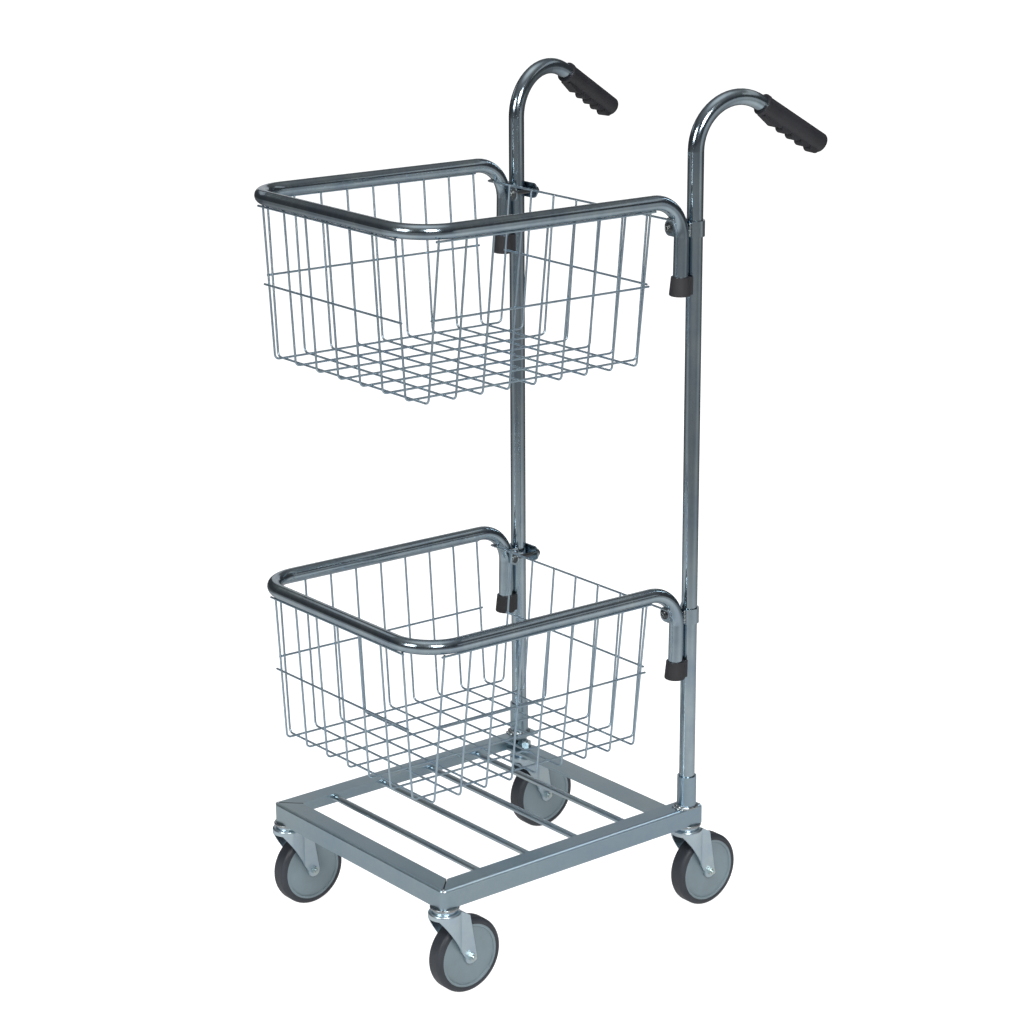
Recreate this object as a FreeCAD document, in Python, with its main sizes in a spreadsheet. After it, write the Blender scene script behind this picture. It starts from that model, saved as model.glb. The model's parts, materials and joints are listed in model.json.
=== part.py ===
import FreeCAD
import Part
import Sketcher
import math
import os
import re

Vector = FreeCAD.Vector

# Driving sizes in millimetres, angles in degrees
SIZES = {
    # base frame, folded from one strip
    "base_width": 394,
    "base_length": 463,
    "flange_drop": 28,
    "flange_width": 30,
    "sheet_thickness": 3,
    "fold_radius": 4,
    "corner_radius": 9,
    "mitre_slit": 1.6,
    # flat cross bars that carry the casters
    "bar_width": 36,
    "bar_thickness": 4,
    "weld_gap": 0.1,
    # round deck rods
    "rod_diameter": 9,
    "rod_count": 4,
    "rod_pitch": 86,
    "first_rod_inset": 89,
    # uprights with handles
    "tube_diameter": 22,
    "tube_wall": 1.5,
    "upright_side_inset": 10,
    "upright_rear_inset": 20.5,
    "socket_diameter": 27,
    "socket_height": 47,
    "socket_clearance": 0.15,
    "handle_bend_height": 1089,
    "handle_bend_radius": 66,
    "handle_slope_angle": 32,
    "handle_splay_angle": 8,
    "handle_straight": 118,
    # moulded grips
    "grip_length": 118,
    "grip_diameter": 28,
    "grip_collar_diameter": 30,
    "grip_collar_length": 5,
    "grip_end_wall": 5,
    "grip_end_round": 5,
    "grip_clearance": 0.05,
    "ridge_count": 4,
    "ridge_pitch": 18.5,
    "ridge_radius": 8,
    "ridge_height": 4,
    "ridge_width": 17,
    "first_ridge": 49.5,
    "ramp_start": 7,
    "ramp_length": 24,
    "ramp_end": 6,
    # casters
    "caster_height": 132,
    "caster_side_inset": 15,
    "caster_end_inset": 14.5,
    "wheel_diameter": 106,
    "tyre_width": 25,
    "tyre_thickness": 8.3,
    "tyre_shoulder": 6,
    "hub_rim_width": 24,
    "hub_lip": 3.5,
    "hub_dish": 2,
    "hub_boss_diameter": 20,
    "seat_gap": 0.05,
    "trail": 32,
    "fork_width": 30.8,
    "fork_sheet": 2.2,
    "fork_crown_drop": 7.7,
    "fork_crown_diameter": 45,
    "fork_front_drop": 7.8,
    "fork_front_start": 18,
    "fork_rear": 31,
    "fork_bend_radius": 3,
    "fork_slope_start": 14,
    "fork_roof_gap": 8,
    "fork_tab_slit": 3,
    "fork_foot_width": 18,
    "fork_foot_drop": 10,
    "race_diameter": 40,
    "race_rim_height": 3.8,
    "race_rim_width": 2.5,
    "race_plate": 2.2,
    "lower_race_height": 4.2,
    "lower_rim_width": 1.2,
    "race_clearance": 0.3,
    "ball_diameter": 4,
    "ball_circle": 27,
    "ball_count": 14,
    "ball_clearance": 0.1,
    "kingpin_diameter": 10,
    "kingpin_clearance": 0.08,
    "kingpin_head_diameter": 20,
    "kingpin_head_height": 3,
    "kingpin_end": 2,
    "kingpin_nut_flats": 17,
    "kingpin_nut_height": 8,
    "axle_diameter": 6,
    "axle_clearance": 0.06,
    "axle_head_flats": 10,
    "axle_head_height": 5,
    "axle_end": 3,
    # basket rims
    "upper_rim_drop": 61,
    "lower_rim_rise": 327,
    "rim_tube_diameter": 20,
    "rim_front_overhang": 20.5,
    "rim_corner_radius": 58,
    "rim_rear_radius": 50,
    "basket_tilt": 1.1,
    "leg_drop": 129,
    "cap_height": 25.5,
    "cap_floor": 4,
    "cap_top_diameter": 25,
    "cap_bottom_diameter": 29.5,
    "cap_heel_width": 15,
    "cap_heel_height": 24,
    "cap_clearance": 0.05,
    "slide_clearance": 0.3,
    # basket wires
    "wire_diameter": 3,
    "wire_bend_radius": 7,
    "basket_depth": 218.5,
    "long_wire_count": 7,
    "long_wire_inset": 42.4,
    "cross_wire_count": 9,
    "cross_wire_front_inset": 35.7,
    "cross_wire_rear_inset": 55.45,
    "front_wall_inset": 16,
    "rear_wall_inset": 13,
    "side_wall_inset": 21,
    "end_mid_drop": 116.5,
    "side_mid_drop": 112,
    "rear_top_angle": 40,
    "rear_top_overhang": 9,
    "wire_stub": 5,
    # clamps that hold the baskets on the uprights
    "clamp_drop": 41,
    "clamp_height": 21.5,
    "clamp_strap": 2.3,
    "clamp_clearance": 0.2,
    "clamp_weld_gap": 0.35,
    "clamp_bolt_offset": 22.5,
    "clamp_ear_end": 31,
    "clamp_ear_lead": 12.5,
    "clamp_bolt_diameter": 6,
    "clamp_hole_clearance": 0.1,
    "clamp_head_diameter": 15,
    "clamp_head_height": 4,
    "clamp_nut_flats": 10,
    "clamp_nut_height": 5,
    "clamp_bolt_end": 2,
}

doc = FreeCAD.newDocument("order_picking_trolley")
sheet = doc.addObject("Spreadsheet::Sheet", "sizes")
for row, (alias, value) in enumerate(SIZES.items(), 1):
    sheet.set(f"A{row}", alias)
    sheet.set(f"B{row}", str(value))
    sheet.setAlias(f"B{row}", alias)
doc.recompute()

# Every finished sub-part, by the name of its file
pieces = {}


def size(alias):
    """The number that a cell of the sheet holds."""
    return float(sheet.get(alias))


def formula(text):
    """A formula with each size written as a cell of the sheet."""
    return re.sub(r"[a-z_]+", lambda word: "sizes." + word[0] if word[0] in SIZES else word[0], str(text))


def bind(thing, name, text):
    thing.setExpression(name, formula(text))


def finish(thing, label):
    thing.Label = label
    pieces[label] = thing
    return thing


def place(thing, x, y, z):
    for axis, text in zip("xyz", (x, y, z)):
        bind(thing, f"Placement.Base.{axis}", text)


# Sketches and features of a body

def new_body(name):
    return doc.addObject("PartDesign::Body", name)


def origin_feature(body, role):
    return next(feature for feature in body.Origin.OriginFeatures if feature.Role == role)


def new_sketch(body, plane, height="0"):
    """An empty sketch on one of the body's own planes, lifted along the plane's normal."""
    sketch = body.newObject("Sketcher::SketchObject", body.Name + "_sketch")
    sketch.AttachmentSupport = [(origin_feature(body, plane), "")]
    sketch.MapMode = "FlatFace"
    bind(sketch, "AttachmentOffset.Base.z", height)
    return sketch


def pin_point(sketch, geometry, end, x, y):
    """Fix a point of the sketch at formulas of the sizes."""
    for kind, axis, text in (("DistanceX", -2, x), ("DistanceY", -1, y)):
        if str(text) == "0":
            sketch.addConstraint(Sketcher.Constraint("PointOnObject", geometry, end, axis))
        else:
            index = sketch.addConstraint(Sketcher.Constraint(kind, -1, 1, geometry, end, 1.0))
            bind(sketch, f"Constraints[{index}]", text)


def outline(sketch, corners):
    """A closed polygon whose corners are formulas of the sizes."""
    count = len(corners)
    turn = 2 * math.pi / count
    rough = [Vector(math.cos(turn * i), math.sin(turn * i), 0) for i in range(count)]
    first = sketch.GeometryCount
    for i in range(count):
        sketch.addGeometry(Part.LineSegment(rough[i], rough[(i + 1) % count]))
    for i in range(count):
        sketch.addConstraint(Sketcher.Constraint("Coincident", first + i, 2, first + (i + 1) % count, 1))
    for i, (x, y) in enumerate(corners):
        pin_point(sketch, first + i, 1, x, y)


def rectangle(sketch, left, right, bottom, top):
    outline(sketch, [(left, bottom), (right, bottom), (right, top), (left, top)])


def circle(sketch, x, y, diameter):
    index = sketch.addGeometry(Part.Circle(Vector(0, 0, 0), Vector(0, 0, 1), 1.0))
    pin_point(sketch, index, 3, x, y)
    limit = sketch.addConstraint(Sketcher.Constraint("Diameter", index, 2.0))
    bind(sketch, f"Constraints[{limit}]", diameter)


def hexagon(sketch, x, y, flats):
    """A hexagon about a point, with two of its flats square to the sketch's X axis."""
    corner = f"({flats}) / 2 / cos(30)"
    corners = []
    for i in range(6):
        angle = 30 + 60 * i
        corners.append((f"({x}) + {corner} * cos({angle})", f"({y}) + {corner} * sin({angle})"))
    outline(sketch, corners)


def pad(body, sketch, length, both_ways=False, downward=False):
    feature = body.newObject("PartDesign::Pad", body.Name + "_pad")
    feature.Profile = sketch
    bind(feature, "Length", length)
    feature.Midplane = both_ways
    feature.Reversed = downward
    return feature


def pocket(body, sketch, depth=None, upward=False, both_ways=False):
    """A cut below the sketch, or above it, through everything if no depth is given."""
    feature = body.newObject("PartDesign::Pocket", body.Name + "_pocket")
    feature.Profile = sketch
    if depth is None:
        feature.Type = "ThroughAll"
    else:
        bind(feature, "Length", depth)
    feature.Reversed = upward
    feature.Midplane = both_ways
    return feature


def revolve(body, sketch, role):
    feature = body.newObject("PartDesign::Revolution", body.Name + "_revolve")
    feature.Profile = sketch
    feature.ReferenceAxis = (origin_feature(body, role), [""])
    feature.Angle = 360
    return feature


def round_edges(body, radius, chosen):
    """A fillet on the edges of the body so far that the chosen test picks."""
    doc.recompute()
    base = body.Tip
    names = [f"Edge{i}" for i, edge in enumerate(base.Shape.Edges, 1) if chosen(edge)]
    feature = body.newObject("PartDesign::Fillet", body.Name + "_fillet")
    feature.Base = (base, names)
    bind(feature, "Radius", radius)
    return feature


def near(a, b):
    return abs(a - b) < 0.01


def is_upright(edge):
    low, high = edge.BoundBox.ZMin, edge.BoundBox.ZMax
    return near(edge.BoundBox.XLength, 0) and near(edge.BoundBox.YLength, 0) and high > low


def is_ring(edge, radius):
    return isinstance(edge.Curve, Part.Circle) and near(edge.Curve.Radius, radius)


# Bent tubes and wires

def bent_path(points, radii):
    """Straight runs through the points, joined by tangent arcs of the given radii."""
    edges = []
    here = points[0]
    for before, corner, after, radius in zip(points, points[1:], points[2:], radii):
        back = (before - corner).normalize()
        ahead = (after - corner).normalize()
        half = back.getAngle(ahead) / 2
        start = corner + back * (radius / math.tan(half))
        end = corner + ahead * (radius / math.tan(half))
        middle = corner + (back + ahead).normalize() * (radius / math.sin(half) - radius)
        edges.append(Part.LineSegment(here, start).toShape())
        edges.append(Part.Arc(start, middle, end).toShape())
        here = end
    edges.append(Part.LineSegment(here, points[-1]).toShape())
    return Part.Wire(edges)


def swept(path, diameter, wall=None):
    """A round bar along the path, or a tube if a wall is given."""
    first = path.Edges[0]
    start = first.valueAt(first.FirstParameter)
    along = first.tangentAt(first.FirstParameter)
    rings = [Part.Wire(Part.makeCircle(diameter / 2, start, along))]
    if wall:
        rings.append(Part.Wire(Part.makeCircle(diameter / 2 - wall, start, along)))
    return path.makePipe(Part.makeFace(rings, "Part::FaceMakerBullseye"))


def feature_of(shape, name, label):
    thing = doc.addObject("Part::Feature", name)
    thing.Shape = shape
    return finish(thing, label)


# Base frame and deck

HALF_W = "base_width / 2"
HALF_L = "base_length / 2"
FRAME_TOP = "caster_height + flange_drop"
CASTER_X = f"({HALF_W} - caster_side_inset)"


def make_base_frame():
    body = new_body("base_frame")
    sketch = new_sketch(body, "XY_Plane", "caster_height")
    rectangle(sketch, f"-{HALF_W}", HALF_W, f"-{HALF_L}", HALF_L)
    pad(body, sketch, "flange_drop")
    front = -size("base_length") / 2
    round_edges(body, "corner_radius", lambda edge: is_upright(edge) and near(edge.BoundBox.YMin, front))
    # the channel under the top flange, open at the rear
    sketch = new_sketch(body, "XY_Plane", "caster_height")
    inside = f"{HALF_W} - sheet_thickness"
    past_rear = f"{HALF_L} + sheet_thickness"
    rectangle(sketch, f"-({inside})", inside, f"-{HALF_L} + sheet_thickness", past_rear)
    pocket(body, sketch, "flange_drop - sheet_thickness", upward=True)
    inner_x = size("base_width") / 2 - size("sheet_thickness")
    inner_y = front + size("sheet_thickness")

    def is_inner_corner(edge):
        return is_upright(edge) and near(abs(edge.BoundBox.XMin), inner_x) and near(edge.BoundBox.YMin, inner_y)

    round_edges(body, "corner_radius - sheet_thickness", is_inner_corner)
    # the open middle
    sketch = new_sketch(body, "XY_Plane", "caster_height")
    clear = f"{HALF_W} - flange_width"
    rectangle(sketch, f"-({clear})", clear, f"-{HALF_L} + flange_width", past_rear)
    pocket(body, sketch, upward=True)
    # the rounded fold along the outside
    top = size("caster_height") + size("flange_drop")
    rim_x = size("base_width") / 2 - size("corner_radius")

    def is_fold(edge):
        box = edge.BoundBox
        if not (near(box.ZMin, top) and near(box.ZMax, top)):
            return False
        on_side = near(abs(edge.CenterOfMass.x), size("base_width") / 2) and box.XLength < 0.01
        on_front = near(box.YMin, front) and box.YLength < 0.01
        on_corner = is_ring(edge, size("corner_radius")) and abs(edge.CenterOfMass.x) > rim_x
        return on_side or on_front or on_corner

    round_edges(body, "fold_radius", is_fold)
    # the open mitres of the top flange at the front corners
    sketch = new_sketch(body, "XY_Plane", FRAME_TOP)
    for sign in ("-1", "1"):
        ends = []
        for inset in ("flange_width + mitre_slit", "fold_radius"):
            ends.append((f"{sign} * ({HALF_W} - ({inset}))", f"-{HALF_L} + {inset}"))
        (inner, low), (outer, high) = ends
        half = "mitre_slit / 2"
        outline(sketch, [(f"{inner} - {half}", low), (f"{outer} - {half}", high),
                         (f"{outer} + {half}", high), (f"{inner} + {half}", low)])
    pocket(body, sketch, "sheet_thickness")
    finish(body, "base_frame")


def make_cross_bar(label, sign):
    """A flat bar between the side flanges, level with their lower edges."""
    body = new_body(label)
    sketch = new_sketch(body, "XY_Plane", "caster_height")
    end = f"{HALF_W} - sheet_thickness - weld_gap"
    outer = f"{HALF_L} - sheet_thickness - weld_gap"
    sides = (f"{sign} * ({outer})", f"{sign} * ({outer} - bar_width)")
    low, high = sides if sign < 0 else reversed(sides)
    rectangle(sketch, f"-({end})", end, low, high)
    pad(body, sketch, "bar_thickness")
    outside = size("base_length") / 2 - size("sheet_thickness") - size("weld_gap")
    round_edges(body, "corner_radius - sheet_thickness - weld_gap",
                lambda edge: is_upright(edge) and near(abs(edge.CenterOfMass.y), outside))
    sketch = new_sketch(body, "XY_Plane", "caster_height")
    for side in (-1, 1):
        circle(sketch, f"{side} * {CASTER_X}", f"{sign} * ({HALF_L} - caster_end_inset)",
               "kingpin_diameter + 2 * kingpin_clearance")
    pocket(body, sketch, upward=True)
    finish(body, label)


def make_deck_rods():
    rods = []
    for i in range(int(size("rod_count"))):
        rod = doc.addObject("Part::Cylinder", f"deck_rod_{i + 1}")
        bind(rod, "Radius", "rod_diameter / 2")
        bind(rod, "Height", "base_width - 2 * corner_radius")
        rod.Placement.Rotation = FreeCAD.Rotation(Vector(0, 1, 0), 90)
        place(rod, f"-({HALF_W} - corner_radius)", f"-{HALF_L} + first_rod_inset + {i} * rod_pitch",
              f"{FRAME_TOP} - sheet_thickness - weld_gap - rod_diameter / 2")
        rods.append(rod)
    group = doc.addObject("Part::Compound", "deck_rods")
    group.Links = rods
    finish(group, "deck_rods")


# Uprights, sockets and grips

UPRIGHT_X = f"({HALF_W} - upright_side_inset)"
UPRIGHT_Y = f"{HALF_L} - upright_rear_inset"


def upright_place(sign):
    return Vector(sign * (size("base_width") / 2 - size("upright_side_inset")),
                  size("base_length") / 2 - size("upright_rear_inset"), 0)


def handle_directions(sign):
    """The handle's outward direction seen from above, and the slope that its grip follows."""
    splay = math.radians(size("handle_splay_angle"))
    slope = math.radians(size("handle_slope_angle"))
    rearward = Vector(sign * math.sin(splay), math.cos(splay), 0)
    return rearward, rearward * math.cos(slope) - Vector(0, 0, math.sin(slope))


def make_socket(side, sign):
    tubes = []
    for part, diameter in (("outer", "socket_diameter"), ("bore", "tube_diameter + 2 * socket_clearance")):
        tube = doc.addObject("Part::Cylinder", f"{side}_socket_{part}")
        bind(tube, "Radius", f"({diameter}) / 2")
        bind(tube, "Height", "socket_height")
        place(tube, f"{sign} * {UPRIGHT_X}", UPRIGHT_Y, FRAME_TOP)
        tubes.append(tube)
    ring = doc.addObject("Part::Cut", f"{side}_socket")
    ring.Base, ring.Tool = tubes
    finish(ring, f"{side}_socket")


def make_upright(side, sign):
    """One tube from the base up to the handle bend, over it and down along the grip."""
    radius = size("handle_bend_radius")
    slope = math.radians(size("handle_slope_angle"))
    rearward, down_grip = handle_directions(sign)
    foot = upright_place(sign) + Vector(0, 0, size("caster_height") + size("flange_drop"))
    bend_start = upright_place(sign) + Vector(0, 0, size("handle_bend_height"))
    crown = bend_start + rearward * radius + Vector(0, 0, radius)
    quarter = bend_start + rearward * radius
    over = quarter + (rearward * math.sin(slope) + Vector(0, 0, math.cos(slope))) * radius
    halfway = quarter + (Vector(0, 0, 1) - rearward).normalize() * radius
    on_slope = quarter + (rearward * math.sin(slope / 2) + Vector(0, 0, math.cos(slope / 2))) * radius
    end = over + down_grip * size("handle_straight")
    path = Part.Wire([
        Part.LineSegment(foot, bend_start).toShape(),
        Part.Arc(bend_start, halfway, crown).toShape(),
        Part.Arc(crown, on_slope, over).toShape(),
        Part.LineSegment(over, end).toShape(),
    ])
    feature_of(swept(path, size("tube_diameter"), size("tube_wall")), f"{side}_upright", f"{side}_upright")
    return end, down_grip


def make_grip(side, sign, tube_end, down_grip):
    """A moulded grip along its own Z axis, with finger ridges on its underside."""
    body = new_body(f"{side}_grip")
    sketch = new_sketch(body, "XZ_Plane")
    outline(sketch, [
        ("0", "0"), ("grip_collar_diameter / 2", "0"), ("grip_collar_diameter / 2", "grip_collar_length"),
        ("grip_diameter / 2", "grip_collar_length"), ("grip_diameter / 2", "grip_length"), ("0", "grip_length"),
    ])
    revolve(body, sketch, "Z_Axis")
    grip_radius = size("grip_diameter") / 2
    end_height = size("grip_length")
    round_edges(body, "grip_end_round",
                lambda edge: is_ring(edge, grip_radius) and near(edge.CenterOfMass.z, end_height))
    round_edges(body, "(grip_collar_diameter - grip_diameter) / 4",
                lambda edge: is_ring(edge, size("grip_collar_diameter") / 2))
    # a ramp behind the collar, then finger ridges: short bars across the underside, half sunk in the round
    sketch = new_sketch(body, "XZ_Plane")
    sunk, proud = "-(grip_diameter / 2 - ridge_height)", "-(grip_diameter / 2 + ridge_height)"
    crest = "ramp_start + ramp_length"
    outline(sketch, [(sunk, "ramp_start"), ("-grip_diameter / 2", "ramp_start"), (proud, crest),
                     ("-grip_diameter / 2", f"{crest} + ramp_end"), (sunk, f"{crest} + ramp_end")])
    pad(body, sketch, "ridge_width", both_ways=True)
    for i in range(int(size("ridge_count"))):
        sketch = new_sketch(body, "XZ_Plane")
        circle(sketch, "-(grip_diameter / 2 + ridge_height - ridge_radius)", f"first_ridge + {i} * ridge_pitch",
               "2 * ridge_radius")
        pad(body, sketch, "ridge_width", both_ways=True)
    # the bore for the tube
    sketch = new_sketch(body, "XY_Plane")
    circle(sketch, "0", "0", "tube_diameter + 2 * grip_clearance")
    pocket(body, sketch, "grip_length - grip_end_wall", upward=True)
    finish(body, f"{side}_grip")
    rearward, along = handle_directions(sign)
    upper_side = along.cross(Vector(-rearward.y, rearward.x, 0)).normalize()
    start = tube_end - down_grip * (size("grip_length") - size("grip_end_wall"))
    turn = FreeCAD.Rotation(upper_side, along.cross(upper_side), along, "ZXY")
    body.Placement = FreeCAD.Placement(start, turn)


# Casters

WHEEL_R = "wheel_diameter / 2"
HUB_R = "wheel_diameter / 2 - tyre_thickness"
CROWN_TOP = "caster_height - fork_crown_drop"
CROWN_UNDER = f"{CROWN_TOP} - fork_sheet"
RACE_TOP = "caster_height - race_plate - ball_clearance - ball_diameter - ball_clearance"


def make_kingpin(body):
    """The stem that the fork turns on, with its head under the fork's crown."""
    sketch = new_sketch(body, "XZ_Plane")
    head = f"{CROWN_UNDER} - ball_clearance"
    pin = "kingpin_diameter / 2"
    top = "caster_height + bar_thickness + kingpin_nut_height + kingpin_end"
    outline(sketch, [
        ("0", f"{head} - kingpin_head_height"), ("kingpin_head_diameter / 2", f"{head} - kingpin_head_height"),
        ("kingpin_head_diameter / 2", head), (pin, head), (pin, top), ("0", top),
    ])
    revolve(body, sketch, "Z_Axis")


def make_top_race(body):
    """The pressed cup under the frame that covers the balls."""
    sketch = new_sketch(body, "XZ_Plane")
    bore = "kingpin_diameter / 2 + kingpin_clearance"
    under = "caster_height - race_plate"
    low = "caster_height - race_rim_height"
    outline(sketch, [
        (bore, "caster_height"), ("race_diameter / 2", "caster_height"), ("race_diameter / 2", low),
        ("race_diameter / 2 - race_rim_width", low), ("race_diameter / 2 - race_rim_width", under),
        (bore, under),
    ])
    revolve(body, sketch, "Z_Axis")
    round_edges(body, "race_rim_width / 2", lambda edge: is_ring(edge, size("race_diameter") / 2))


def make_fork(body):
    """Pressed fork: a round crown with the lower race, and two legs that taper down to the axle."""
    foot = f"{WHEEL_R} - fork_foot_drop"
    behind = "fork_rear + fork_foot_width + trail"
    # the outside: a round skirt in front, flat legs behind
    sketch = new_sketch(body, "XY_Plane", foot)
    circle(sketch, "0", "0", "fork_crown_diameter")
    pad(body, sketch, f"{CROWN_TOP} - ({foot})")
    sketch = new_sketch(body, "XY_Plane", foot)
    rectangle(sketch, "-fork_width / 2", "fork_width / 2", "0", behind)
    pad(body, sketch, f"{CROWN_TOP} - ({foot})")
    crown = size("caster_height") - size("fork_crown_drop")

    def is_crown_edge(edge):
        on_side = near(abs(edge.CenterOfMass.x), size("fork_width") / 2)
        on_front = is_ring(edge, size("fork_crown_diameter") / 2)
        return near(edge.BoundBox.ZMin, crown) and near(edge.BoundBox.ZMax, crown) and (on_side or on_front)

    round_edges(body, "fork_bend_radius", is_crown_edge)
    # the hollow below the crown
    sketch = new_sketch(body, "XY_Plane", foot)
    circle(sketch, "0", "0", "fork_crown_diameter - 2 * fork_sheet")
    pocket(body, sketch, f"{CROWN_UNDER} - ({foot})", upward=True)
    sketch = new_sketch(body, "XY_Plane", foot)
    inside = "fork_width / 2 - fork_sheet"
    rectangle(sketch, f"-({inside})", inside, "0", f"{behind} + fork_sheet")
    pocket(body, sketch, f"{CROWN_UNDER} - ({foot})", upward=True)
    # side view of the crown: level in front, and behind the races a tab that slopes down above the tyre
    above = f"{CROWN_TOP} + fork_sheet"
    rear_top = "wheel_diameter + fork_roof_gap"
    past = f"{behind} + fork_sheet"
    sketch = new_sketch(body, "YZ_Plane")
    outline(sketch, [("fork_slope_start", CROWN_TOP), ("fork_slope_start", above), (past, above),
                     (past, rear_top), ("fork_rear", rear_top)])
    pocket(body, sketch, both_ways=True)
    sketch = new_sketch(body, "YZ_Plane")
    slant = f"fork_sheet / cos(atan(({CROWN_TOP} - ({rear_top})) / (fork_rear - fork_slope_start)))"
    outline(sketch, [("fork_slope_start", CROWN_TOP), ("fork_rear", rear_top),
                     ("fork_rear", f"{rear_top} - {slant}"), ("fork_slope_start", f"{CROWN_TOP} - {slant}")])
    pad(body, sketch, "fork_width - 2 * (fork_sheet + fork_tab_slit)", both_ways=True)
    # the slanted front edge and the rear edge of the legs, cut across both
    sketch = new_sketch(body, "YZ_Plane")
    lowest = f"{foot} - fork_sheet"
    toe = "trail - fork_foot_width / 2"
    heel = "trail + fork_foot_width / 2"
    front = "-(fork_crown_diameter / 2 + fork_sheet)"
    front_low = f"{CROWN_TOP} - fork_front_drop"
    outline(sketch, [(front, lowest), (toe, lowest), (toe, WHEEL_R), ("-fork_front_start", front_low),
                     (front, front_low)])
    outline(sketch, [(heel, lowest), (past, lowest), (past, above), ("fork_rear", above),
                     ("fork_rear", rear_top), (heel, WHEEL_R)])
    pocket(body, sketch, both_ways=True)
    # the rounded feet round the axle
    foot_low = size("wheel_diameter") / 2 - size("fork_foot_drop")

    def is_foot_corner(edge):
        return edge.BoundBox.XLength > 1 and near(edge.BoundBox.ZMax, foot_low) and edge.BoundBox.YLength < 0.01

    round_edges(body, "fork_foot_width / 2.2", is_foot_corner)
    # the lower race on the crown, its rim standing inside the top race
    sketch = new_sketch(body, "XZ_Plane")
    bore = "kingpin_diameter / 2 + kingpin_clearance"
    rim = "race_diameter / 2 - race_rim_width - race_clearance"
    wall = f"{rim} - lower_rim_width"
    rim_top = f"{CROWN_TOP} + lower_race_height"
    outline(sketch, [
        (bore, CROWN_UNDER), (rim, CROWN_UNDER), (rim, rim_top), (wall, rim_top), (wall, RACE_TOP),
        (bore, RACE_TOP),
    ])
    revolve(body, sketch, "Z_Axis")
    # kingpin and axle holes
    sketch = new_sketch(body, "XY_Plane")
    circle(sketch, "0", "0", f"2 * ({bore})")
    pocket(body, sketch, upward=True)
    sketch = new_sketch(body, "YZ_Plane")
    circle(sketch, "trail", WHEEL_R, "axle_diameter + 2 * seat_gap")
    pocket(body, sketch, both_ways=True)


def make_axle_bolt(body):
    """Hex bolt through both legs, its head outside the left leg."""
    sketch = new_sketch(body, "YZ_Plane", "-fork_width / 2")
    hexagon(sketch, "trail", WHEEL_R, "axle_head_flats")
    pad(body, sketch, "axle_head_height", downward=True)
    sketch = new_sketch(body, "YZ_Plane", "-fork_width / 2")
    circle(sketch, "trail", WHEEL_R, "axle_diameter")
    pad(body, sketch, "fork_width + axle_head_height + axle_end")


def make_axle_nut(body):
    sketch = new_sketch(body, "YZ_Plane", "fork_width / 2")
    hexagon(sketch, "trail", WHEEL_R, "axle_head_flats")
    circle(sketch, "trail", WHEEL_R, "axle_diameter + 2 * seat_gap")
    pad(body, sketch, "axle_head_height")


def make_hub(body):
    """Moulded wheel centre, a dished disc with a raised lip; its own X axis is the axle."""
    sketch = new_sketch(body, "XY_Plane")
    bore = "axle_diameter / 2 + axle_clearance"
    face = "fork_width / 2 - fork_sheet - slide_clearance"
    boss = "hub_boss_diameter / 2"
    lip = f"{HUB_R} - hub_lip"
    profile = [
        (face, bore), (face, boss), ("hub_rim_width / 2 - hub_dish", boss),
        ("hub_rim_width / 2 - hub_dish", lip), ("hub_rim_width / 2", lip), ("hub_rim_width / 2", HUB_R),
    ]
    mirrored = [(f"-({x})", y) for x, y in reversed(profile)]
    outline(sketch, profile + mirrored)
    revolve(body, sketch, "X_Axis")
    round_edges(body, "hub_lip / 4", lambda edge: is_ring(edge, size("wheel_diameter") / 2
                - size("tyre_thickness") - size("hub_lip")) and abs(edge.CenterOfMass.x) > 1)


def make_tyre(body):
    sketch = new_sketch(body, "XY_Plane")
    rectangle(sketch, "-tyre_width / 2", "tyre_width / 2", f"{HUB_R} + seat_gap", WHEEL_R)
    revolve(body, sketch, "X_Axis")
    round_edges(body, "tyre_shoulder", lambda edge: is_ring(edge, size("wheel_diameter") / 2))


CASTER_PIECES = {
    "kingpin": make_kingpin, "top_race": make_top_race, "fork": make_fork,
    "axle_bolt": make_axle_bolt, "axle_nut": make_axle_nut, "hub": make_hub, "tyre": make_tyre,
}


def make_caster(corner, x_sign, y_sign):
    across = f"{x_sign} * {CASTER_X}"
    along = f"{y_sign} * ({HALF_L} - caster_end_inset)"
    for name, make in CASTER_PIECES.items():
        body = new_body(f"{corner}_{name}")
        make(body)
        finish(body, f"{corner}_{name}")
        if name in ("hub", "tyre"):
            place(body, across, f"{along} + trail", WHEEL_R)
        else:
            place(body, across, along, "0")


def make_caster_group(label, solid):
    """The same solids at all four swivel axes."""
    shapes = []
    for x_sign in (-1, 1):
        for y_sign in (-1, 1):
            shape = solid.copy()
            shape.translate(Vector(x_sign * (size("base_width") / 2 - size("caster_side_inset")),
                                   y_sign * (size("base_length") / 2 - size("caster_end_inset")), 0))
            shapes.append(shape)
    feature_of(Part.makeCompound(shapes), label, label)


def kingpin_nut():
    flats, height = size("kingpin_nut_flats"), size("kingpin_nut_height")
    base = size("caster_height") + size("bar_thickness")
    corner = flats / 2 / math.cos(math.radians(30))
    points = [Vector(corner * math.cos(math.radians(60 * i)), corner * math.sin(math.radians(60 * i)), base)
              for i in range(7)]
    block = Part.Face(Part.makePolygon(points)).extrude(Vector(0, 0, height))
    bore = Part.makeCylinder(size("kingpin_diameter") / 2 + size("seat_gap"), height, Vector(0, 0, base))
    return block.cut(bore)


def ball_ring():
    radius = size("ball_diameter") / 2
    centre = size("caster_height") - size("race_plate") - size("ball_clearance") - radius
    count = int(size("ball_count"))
    balls = []
    for i in range(count):
        angle = 2 * math.pi * i / count
        spot = Vector(math.cos(angle), math.sin(angle), 0) * (size("ball_circle") / 2)
        balls.append(Part.makeSphere(radius, spot + Vector(0, 0, centre)))
    return Part.makeCompound(balls)


# Baskets: all in their own frame, with Z = 0 on the rim's centre line

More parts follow.
